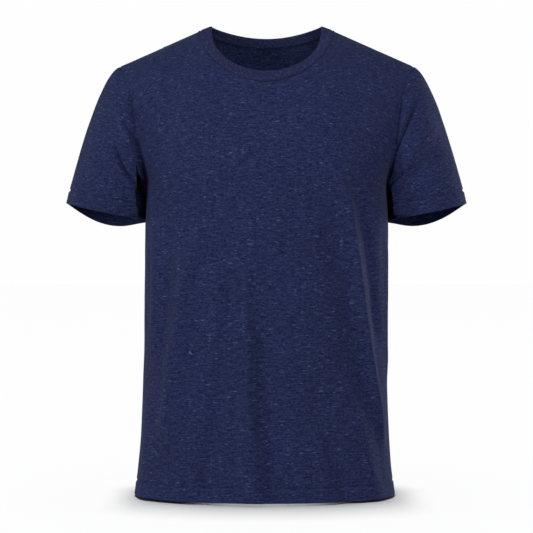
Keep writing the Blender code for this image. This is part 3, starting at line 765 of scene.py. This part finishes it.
def tuck(name, grid, degrees, share):
    """Moves of a sleeve's points: the front folds over, and cloth beside it lies back."""
    begins = smooth_column(TUCK_EDGE, name, share)
    turn = smoothstep((degrees - begins) / TUCK_WIDTH)
    opens = smoothstep((share - TUCK_OPENS[0]) / (TUCK_OPENS[1] - TUCK_OPENS[0]))
    closes = smoothstep((TUCK_CLOSES[1] - share) / (TUCK_CLOSES[1] - TUCK_CLOSES[0]))
    deep = opens * closes * ((degrees > UNDERNEATH[0]) & (degrees < UNDERNEATH[1]))
    over = TUCK_LIP * hump(degrees - begins, LIP_TURN) * (1 - turn)
    back = np.clip(TUCK_DEPTH - grid[..., 1], 0, None) * turn
    return np.stack([-HANDS[name] * over, back, 0 * back], -1) * deep[..., None]


def armhole_loop(front, back, hand):
    """Armhole's points from the shoulder down the front and up the back, and their turns."""
    column = -1 if hand > 0 else 0
    count = ARMHOLE_STEPS + len(BELOW_TOP)
    down = front[::-1, column][:count + 1]
    up = back[:, column][-count:-1]
    front_share = along(down) / along(down)[-1]
    rear = along(np.concatenate([down[-1:], up, down[:1]]))
    turns = math.pi * np.concatenate([front_share, 1 + rear[1:-1] / rear[-1]])
    return np.concatenate([down, up]), turns


def blend_round(turns, vectors, hand):
    """One vector for each turn, between those for the top, the sides and underneath."""
    top = np.maximum(np.cos(turns), 0)[:, None] ** TURN_POWER
    under = np.maximum(-np.cos(turns), 0)[:, None] ** TURN_POWER
    blended = (top * np.array(vectors["top"]) + under * np.array(vectors["under"])
               + (1 - top - under) * np.array(vectors["side"]))
    blended[:, 0] *= hand
    blended[:, 1] = -vectors["side"][1] * np.sin(turns)
    return blended


def cuff_loop(turns, hand):
    outer = np.array([hand * CUFF_OUTER[0], 0.0, CUFF_OUTER[1]])
    inner = np.array([hand * CUFF_INNER[0], 0.0, CUFF_INNER[1]])
    cosine, sine = np.cos(turns)[:, None], np.sin(turns)[:, None]
    loop = (outer + inner) / 2 + cosine * (outer - inner) / 2
    loop = loop - sine * np.array([0.0, CUFF_HALF_DEPTH, 0.0])
    droop = np.where(sine > 0, CUFF_DROOP["front"], CUFF_DROOP["back"]) * sine ** 2
    return loop - droop * np.array([0.0, 0.0, 1.0])


def sleeve_form(name):
    """Rings of a sleeve from cuff to armhole, their turns and shares, and its mean length."""
    hand = HANDS[name]
    armhole, turns = armhole_loop(grids["front"], grids["back"], hand)
    cuff = cuff_loop(turns, hand)
    leaves = blend_round(turns, SLEEVE_LEAVES, hand)
    arrives = blend_round(turns, SLEEVE_ARRIVES, hand)
    length = np.linalg.norm(cuff - armhole, axis=-1)
    upper = np.sort(np.concatenate([np.linspace(0, 1, SLEEVE_STEPS + 1)[:-1], BELOW_ARMHOLE]))
    sleeve = upper[::-1, None] * (1 - HEM_ROWS[-1] / length)
    t = np.concatenate([1 - HEM_ROWS[:, None] / length, sleeve])[..., None]
    rings = (1 + 2 * t) * (1 - t) ** 2 * armhole + t * t * (3 - 2 * t) * cuff
    rings = rings + t * (1 - t) ** 2 * leaves - t * t * (1 - t) * arrives
    return rings, np.broadcast_to(np.degrees(turns), t.shape[:2]), t[..., 0], length.mean()


for name, hand in HANDS.items():
    rings, degrees, share, run = sleeve_form(name)
    reach = math.radians(CUFF_HALF_DEPTH)     # metres round the sleeve for a degree
    rise = sum(fold_height(degrees * reach, share * run, fold, (reach, run))
               for fold in rows_of(SLEEVE_FOLDS) if fold["piece"] == name)
    rise = rise * smoothstep(share / ARMHOLE_CALM)
    climbed = along(rings)
    from_seams[name] = climbed[-1:] - climbed
    from_hems[name] = climbed
    rise = rise + surface_rise(rings, from_seams[name], climbed)
    grids[name] = rings + grid_normals(rings, True, -hand) * rise[..., None]
    grids[name] = grids[name] + tuck(name, grids[name], degrees, share)
    normals[name] = grid_normals(grids[name], True, -hand)
    around = along_rows(np.concatenate([rings, rings[:, :1]], axis=1))
    closed_climb = np.concatenate([climbed, climbed[:, :1]], axis=1)
    maps[name] = np.stack([CUT_FROM[name] + around, closed_climb], -1)


# ---------------------------------------------------------------------------------------
# Neckband. One strip of 1x1 rib knit, folded double lengthwise and overlocked to the
# neckline under a little tension, so that its folded edge lies close to the neck.
# ---------------------------------------------------------------------------------------
RIB = 0.0026             # both layers of the folded strip
RIB_PROUD = 0.0009       # how far its outer face stands over the jersey
NECK_EDGE = (
    ("side", "half_width", "at_side", "at_centre", "power"),
    ("front", 0.0815, 0.0042, -0.0700, 0.87),
    ("back", 0.0815, 0.0042, -0.0063, 2.60),
)
NECK_EDGE_DEPTH = {"front": 0.915, "back": 0.895}   # as a share of the seam's
RIBS = 430
COLUMNS_FOR_A_RIB = 5
RIB_DEPTH = 0.00022
NECK_SAMPLES = 1500
RIB_NAVY = (0.0140, 0.0175, 0.0620, 1.0)
RIB_PALE = (0.0290, 0.0340, 0.0960, 1.0)
FLECK_STRENGTH = 0.45
RIB_STREAK_RISE = 0.4

# Band's section: share of the way from seam to edge, level from its inner face (0) to its
# outer face (1), and how deep the ribs are cut there.
BAND_SECTION = (
    ("share", "level", "cut"),
    (0.00, 0.44, 0.1),
    (0.04, 0.64, 0.3),
    (0.08, 0.95, 0.8),
    (0.15, 1.10, 1.0),
    (0.22, 1.12, 1.0),
    (0.45, 1.11, 1.0),
    (0.70, 1.06, 1.0),
    (0.86, 1.00, 1.0),
    (0.94, 0.90, 1.0),
    (0.985, 0.72, 1.0),
    (1.00, 0.50, 1.0),
    (0.985, 0.28, 1.0),
    (0.94, 0.10, 1.0),
    (0.86, 0.00, 1.0),
    (0.45, -0.08, 1.0),
    (0.08, -0.16, 0.9),
    (0.00, -0.20, 0.1),
)


def neck_loop(table):
    """Points of a neck edge along the front towards +X and back along the back."""
    share = np.linspace(-1, 1, NECK_SAMPLES)
    sides = []
    for side in ("front", "back"):
        x, height = neck_curve(row_for(table, side), share)
        sides.append(np.stack([x, 0 * x, height], -1))
    return np.concatenate([sides[0], sides[1][-2:0:-1]])


def neckline():
    """Seam and edge of the neckband, evenly spaced for its ribs, and places along it."""
    seam, edge = neck_loop(NECK_SEAM), neck_loop(NECK_EDGE)
    for side, part in (("front", slice(0, NECK_SAMPLES)), ("back", slice(NECK_SAMPLES, None))):
        x, height = seam[part, 0], seam[part, 2]
        seam[part] = body_form(side, turn_at(x, height), height)
        edge[part, 1] = seam[part, 1] * NECK_EDGE_DEPTH[side]
    closed_seam = np.concatenate([seam, seam[:1]])
    closed_edge = np.concatenate([edge, edge[:1]])
    travelled = along(closed_seam)
    count = RIBS * COLUMNS_FOR_A_RIB
    places = np.arange(count) / count * travelled[-1]
    even = [np.stack([np.interp(places, travelled, line[:, axis]) for axis in range(3)], -1)
            for line in (closed_seam, closed_edge)]
    return even[0], even[1], places


def rib_knit():
    """Navy rib: plainer than the jersey, with faint streaks along the ribs."""
    dye = Dye("navy_rib", roughness=0.92, sheen=0.07)
    streaks = dye.grain(length=0.0024, height=0.0044, seed=8.0)
    streak = dye.between(streaks, low=0.30, high=0.70)
    colour = dye.mix(RIB_NAVY, RIB_PALE, streak)
    flecks = dye.grain(length=0.0026, height=0.0040, seed=19.0)
    fleck = dye.between(flecks, low=0.64, high=0.80)
    colour = dye.mix(colour, SLUB, fleck * FLECK_STRENGTH)
    dye.feed(dye.shader.inputs["Base Color"], colour)
    relief = dye.knit(wale=0.0007, course=0.0008) + streak * RIB_STREAK_RISE
    dye.bump(relief, distance=0.00018)
    return dye.material


seam, edge, places = neckline()
across = edge - seam
tangent = np.roll(seam, -1, axis=0) - np.roll(seam, 1, axis=0)
outwards = unit(np.cross(tangent, across))
band_length = np.linalg.norm(across, axis=-1, keepdims=True)
section = rows_of(BAND_SECTION)
rings = []
cuts = []
for point in section:
    at = SEAM_GAP / 2 / band_length + (1 - SEAM_GAP / 2 / band_length) * point["share"]
    rings.append(seam + across * at + outwards * (RIB_PROUD - RIB * (1 - point["level"])))
    cuts.append(np.full(len(seam), point["cut"]))
band_points = settled(np.stack(rings, axis=1))
count, sides = band_points.shape[:2]
column, side = (axis.ravel() for axis in np.mgrid[0:count, 0:sides])
corner_columns = np.stack([column, column + 1, column + 1, column], -1)
corner_sides = np.stack([side, side, side + 1, side + 1], -1)
band_faces = (corner_columns % count) * sides + corner_sides % sides
band_mesh = bpy.data.meshes.new("neckband")
band_mesh.from_pydata(band_points.reshape(-1, 3).tolist(), [], band_faces.tolist())
shares = [point["share"] for point in section + section[:1]]
girth = np.concatenate([[0.0], np.cumsum(np.abs(np.diff(shares)))])
round_neck = np.append(places, 2 * places[-1] - places[-2])
band_map = band_mesh.uv_layers.new(name="cloth")
band_uv = np.stack([round_neck[corner_columns], girth[corner_sides] * band_length.mean()], -1)
band_map.data.foreach_set("uv", band_uv.ravel())
cut = band_mesh.attributes.new("rib_cut", "FLOAT", "POINT")
cut.data.foreach_set("value", np.stack(cuts, axis=1).ravel())
ribs_round = band_mesh.attributes.new("ribs_round", "FLOAT", "POINT")
ribs_round.data.foreach_set("value", np.repeat(np.arange(count) / count, sides))
band_mesh.shade_smooth()
neckband = object_of("neckband_rib", band_mesh)


class Recipe:
    """A Geometry Nodes tree with named inputs, laid out one node after another."""

    def __init__(self, name, inputs):
        self.tree = bpy.data.node_groups.new(name, "GeometryNodeTree")
        for way in ("INPUT", "OUTPUT"):
            self.tree.interface.new_socket("Geometry", in_out=way,
                                           socket_type="NodeSocketGeometry")
        for label, value in inputs.items():
            kind = "NodeSocketInt" if isinstance(value, int) else "NodeSocketFloat"
            self.tree.interface.new_socket(label, in_out="INPUT", socket_type=kind)
        self.values = inputs
        self.start = self.tree.nodes.new("NodeGroupInput")
        self.end = self.tree.nodes.new("NodeGroupOutput")

    def node(self, kind, settings, sockets):
        """Adds a node. A name as a socket's value stands for that input of the tree."""
        added = self.tree.nodes.new(kind)
        for setting, value in settings.items():
            setattr(added, setting, value)
        for socket, value in sockets.items():
            if isinstance(value, str):
                value = self.start.outputs[value]
            if isinstance(value, bpy.types.NodeSocket):
                self.tree.links.new(value, added.inputs[socket])
            else:
                added.inputs[socket].default_value = value
        return added.outputs[0]

    def math(self, operation, first, second=0.0):
        return self.node("ShaderNodeMath", {"operation": operation}, {0: first, 1: second})

    def attribute(self, name):
        added = self.tree.nodes.new("GeometryNodeInputNamedAttribute")
        added.data_type = "FLOAT"
        added.inputs["Name"].default_value = name
        return added.outputs["Attribute"]

    def finish(self, geometry, material):
        """Ends the tree: instances become mesh and take the material."""
        real = self.node("GeometryNodeRealizeInstances", {}, {0: geometry})
        painted = self.node("GeometryNodeSetMaterial", {}, {0: real, "Material": material})
        self.tree.links.new(painted, self.end.inputs[0])

    def apply(self, piece):
        """Runs the tree on an object and keeps the result as its plain mesh."""
        modifier = piece.modifiers.new(self.tree.name, "NODES")
        modifier.node_group = self.tree
        for item in self.tree.interface.items_tree:
            if item.in_out == "INPUT" and item.name in self.values:
                modifier[item.identifier] = self.values[item.name]
        graph = bpy.context.evaluated_depsgraph_get()
        made = bpy.data.meshes.new_from_object(piece.evaluated_get(graph))
        piece.modifiers.remove(modifier)
        piece.data = made
        return piece


rib = rib_knit()
ribbing = Recipe("ribbing", {"Ribs": RIBS, "Depth": RIB_DEPTH})
phase = ribbing.math("MULTIPLY", ribbing.attribute("ribs_round"), "Ribs")
wave = ribbing.math("COSINE", ribbing.math("MULTIPLY", phase, 2 * math.pi))
full_depth = ribbing.math("MULTIPLY", wave, "Depth")
depth = ribbing.math("MULTIPLY", full_depth, ribbing.attribute("rib_cut"))
normal = ribbing.node("GeometryNodeInputNormal", {}, {})
offset = ribbing.node("ShaderNodeVectorMath", {"operation": "SCALE"}, {0: normal, "Scale": depth})
ribbed = ribbing.node("GeometryNodeSetPosition", {}, {0: "Geometry", "Offset": offset})
ribbing.finish(ribbed, rib)
ribbing.apply(neckband)
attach(neckband, "root")
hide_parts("neckband")

# The panels and sleeves meet the neckband and each other, so their walls come after it.
names = [*PANELS, *HANDS]
shared = shared_normals([grids[name] for name in names], [normals[name] for name in names])
pieces = {}
for name, together in zip(names, shared):
    closed = name in HANDS
    sign = -HANDS[name] if closed else PANELS[name]
    outer, inner = cloth_wall(grids[name], normals[name], together, closed,
                              from_seams[name], from_hems[name])
    pieces[name] = cloth_piece(name + "_jersey", outer, inner, maps[name], closed, sign, jersey)
    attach(pieces[name], "root")
    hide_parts(name)


# ---------------------------------------------------------------------------------------
# Hem stitching. Two parallel needle rows of navy thread run round the hem and round each
# cuff and hold the turned-up edge.
# ---------------------------------------------------------------------------------------
STITCH_PITCH = 0.0029
STITCH_LENGTH = 0.0024
THREAD = 0.00048
BEAD = {"Segments": 6, "Rings": 5, "Radius": 0.5}   # a stitch before it is drawn out
THREAD_NAVY = (0.018, 0.024, 0.075, 1.0)
THREAD_PALE = (0.032, 0.042, 0.115, 1.0)
TWIST = {"Scale": 900.0, "Detail": 1.0}


def thread():
    """Navy sewing thread, a little brighter and smoother than the cloth."""
    dye = Dye("navy_thread", roughness=0.7, sheen=0.1)
    place = dye.node("ShaderNodeTexCoord", {}, {}, output="Object")
    twist = dye.node("ShaderNodeTexNoise", {}, {"Vector": place, **TWIST})
    colour = dye.mix(THREAD_NAVY, THREAD_PALE, twist)
    dye.feed(dye.shader.inputs["Base Color"], colour)
    return dye.material


def stitch_rows(name, loops):
    """Object with a closed line of edges for each loop of points."""
    points, edges = [], []
    for loop in loops:
        first = len(points)
        points += loop.tolist()
        edges += [(first + n, first + (n + 1) % len(loop)) for n in range(len(loop))]
    mesh = bpy.data.meshes.new(name)
    mesh.from_pydata(points, edges, [])
    return object_of(name, mesh)


def row_at(name, height):
    """Points of a piece's outer face at a height above its hem, across the piece."""
    row = []
    for column in range(grids[name].shape[1]):
        rises = from_hems[name][:, column]
        line = grids[name][:, column]
        row.append([np.interp(height, rises, line[:, axis]) for axis in range(3)])
    return np.array(row)


navy_thread = thread()
SEWN_ON = {
    "hem_stitches": ("front", "back"),
    "cuff_stitches_left": ("sleeve_left",),
    "cuff_stitches_right": ("sleeve_right",),
}
stitches = {}
for name, sides in SEWN_ON.items():
    loops = []
    for height in STITCH_HEIGHTS:
        lines = [row_at(side, height) for side in sides]
        if len(lines) > 1:
            lines[1] = lines[1][-2:0:-1]
        loops.append(settled(np.concatenate(lines)))
    sewing = Recipe("sewing", {"Pitch": STITCH_PITCH, "Length": STITCH_LENGTH, "Thread": THREAD})
    path = sewing.node("GeometryNodeMeshToCurve", {}, {0: "Geometry"})
    even = sewing.node("GeometryNodeResampleCurve", {"mode": "LENGTH"},
                       {"Curve": path, "Length": "Pitch"})
    bead = sewing.node("GeometryNodeMeshUVSphere", {}, BEAD)
    size = sewing.node("ShaderNodeCombineXYZ", {}, {0: "Thread", 1: "Thread", 2: "Length"})
    shaped = sewing.node("GeometryNodeTransform", {}, {0: bead, "Scale": size})
    tangent = sewing.node("GeometryNodeInputTangent", {}, {})
    lie = sewing.node("FunctionNodeAlignRotationToVector", {"axis": "Z"}, {"Vector": tangent})
    placed = sewing.node("GeometryNodeInstanceOnPoints", {},
                         {"Points": even, "Instance": shaped, "Rotation": lie})
    smooth = sewing.node("GeometryNodeSetShadeSmooth", {}, {0: placed})
    sewing.finish(smooth, navy_thread)
    stitches[name] = sewing.apply(stitch_rows(name, loops))
    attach(stitches[name], "root")

for side, (width, length, area) in PANEL_CUT.items():
    held_by = [stitches["hem_stitches"]] if side == "front" else []
for name, sewn_on in (("sleeve_left", "cuff_stitches_left"),
                      ("sleeve_right", "cuff_stitches_right")):
    width, length, area = SLEEVE_CUT


# ---------------------------------------------------------------------------------------
# Studio. A white floor just under the hem and white surroundings. Large soft lights stand
# at the front left and front right, a low one at the right, one behind each side and one
# straight behind. The camera is level with the middle of the garment.
# ---------------------------------------------------------------------------------------
FLOOR_HEIGHT = -0.694
FLOOR_HALF = 30.0        # metres from its middle to an edge
FLOOR_WHITE = (0.90, 0.90, 0.90, 1.0)
corners = [(x * FLOOR_HALF, y * FLOOR_HALF, FLOOR_HEIGHT)
           for x, y in ((-1, -1), (1, -1), (1, 1), (-1, 1))]
floor_mesh = bpy.data.meshes.new("floor")
floor_mesh.from_pydata(corners, [], [(0, 1, 2, 3)])
floor = object_of("floor", floor_mesh)
paint = Dye("white_floor", roughness=0.9, sheen=0.0)
paint.feed(paint.shader.inputs["Base Color"], FLOOR_WHITE)
floor_mesh.materials.append(paint.material)
floor.visible_diffuse = False     # the bright floor lights nothing above it

SURROUNDINGS_SEEN = 0.991   # brightness of the white surroundings as a backdrop,
SURROUNDINGS_LIGHT = 0.15   # and as a source of light
world = bpy.data.worlds.new("studio")
world.use_nodes = True
sky = world.node_tree.nodes["Background"]
sky.inputs["Color"].default_value = (1.0, 1.0, 1.0, 1.0)
seen = world.node_tree.nodes.new("ShaderNodeLightPath").outputs["Is Camera Ray"]
strength = world.node_tree.nodes.new("ShaderNodeMapRange")
strength.inputs["To Min"].default_value = SURROUNDINGS_LIGHT
strength.inputs["To Max"].default_value = SURROUNDINGS_SEEN
world.node_tree.links.new(seen, strength.inputs["Value"])
world.node_tree.links.new(strength.outputs[0], sky.inputs["Strength"])
bpy.context.scene.world = world
bpy.context.scene.view_settings.view_transform = "Standard"


def collection_of(name, members):
    made = bpy.data.collections.new(name)
    for member in members:
        made.objects.link(member)
    return made


garment = collection_of("garment", [neckband, *pieces.values(), *stitches.values()])
floor_only = collection_of("floor_only", [floor])
body = collection_of("body", [pieces["front"], pieces["back"]])

# The floor has a light of its own, a row of suns overhead that lean from the front to the
# back, in which the body of the garment leaves a soft shadow before its hem. The other
# lights leave the floor alone.
FLOOR_LIGHT = 3.10
FLOOR_SUN_SIZE = 5       # degrees
FLOOR_SUNS = (
    ("name", "lean", "share"),
    ("floor_light_1", -4.0, 0.33),
    ("floor_light_2", 1.5, 0.24),
    ("floor_light_3", 5.5, 0.17),
    ("floor_light_4", 9.5, 0.14),
    ("floor_light_5", 14.0, 0.12),
)
for row in rows_of(FLOOR_SUNS):
    sun_data = bpy.data.lights.new(row["name"], "SUN")
    sun_data.energy = FLOOR_LIGHT * row["share"]
    sun_data.angle = math.radians(FLOOR_SUN_SIZE)
    sun = object_of(row["name"], sun_data)
    sun.rotation_euler = (math.radians(-row["lean"]), 0.0, 0.0)
    sun.light_linking.receiver_collection = floor_only
    sun.light_linking.blocker_collection = body

LIGHTS = (
    ("name", "place", "size", "power"),
    ("key", (-2.5, -1.8, 0.35), 0.9, 45.0),
    ("fill", (0.85, -2.7, 0.8), 0.9, 41.0),
    ("low_fill", (1.6, -2.3, -0.60), 0.5, 6.0),
    ("back", (-0.6, 2.9, 0.9), 1.4, 16.0),
    ("right_rim", (2.6, 1.3, 0.2), 1.4, 36.0),
    ("left_rim", (-2.6, 1.3, -0.5), 1.4, 19.0),
)
AIM = Vector((0.0, 0.0, -0.35))
for light in rows_of(LIGHTS):
    lamp_data = bpy.data.lights.new(light["name"], "AREA")
    lamp_data.size = light["size"]
    lamp_data.energy = light["power"]
    lamp = object_of(light["name"], lamp_data)
    lamp.location = light["place"]
    lamp.rotation_euler = (AIM - lamp.location).to_track_quat("-Z", "Y").to_euler()
    lamp.light_linking.receiver_collection = garment

LENS = 111.3             # millimetres
SENSOR = 36.0            # millimetres
EYE = (0.0, -2.46, -0.354)
camera_data = bpy.data.cameras.new("camera")
camera_data.lens = LENS
camera_data.sensor_width = SENSOR
camera = object_of("camera", camera_data)
camera.location = EYE
camera.rotation_euler = (math.radians(90), 0.0, 0.0)
bpy.context.scene.camera = camera
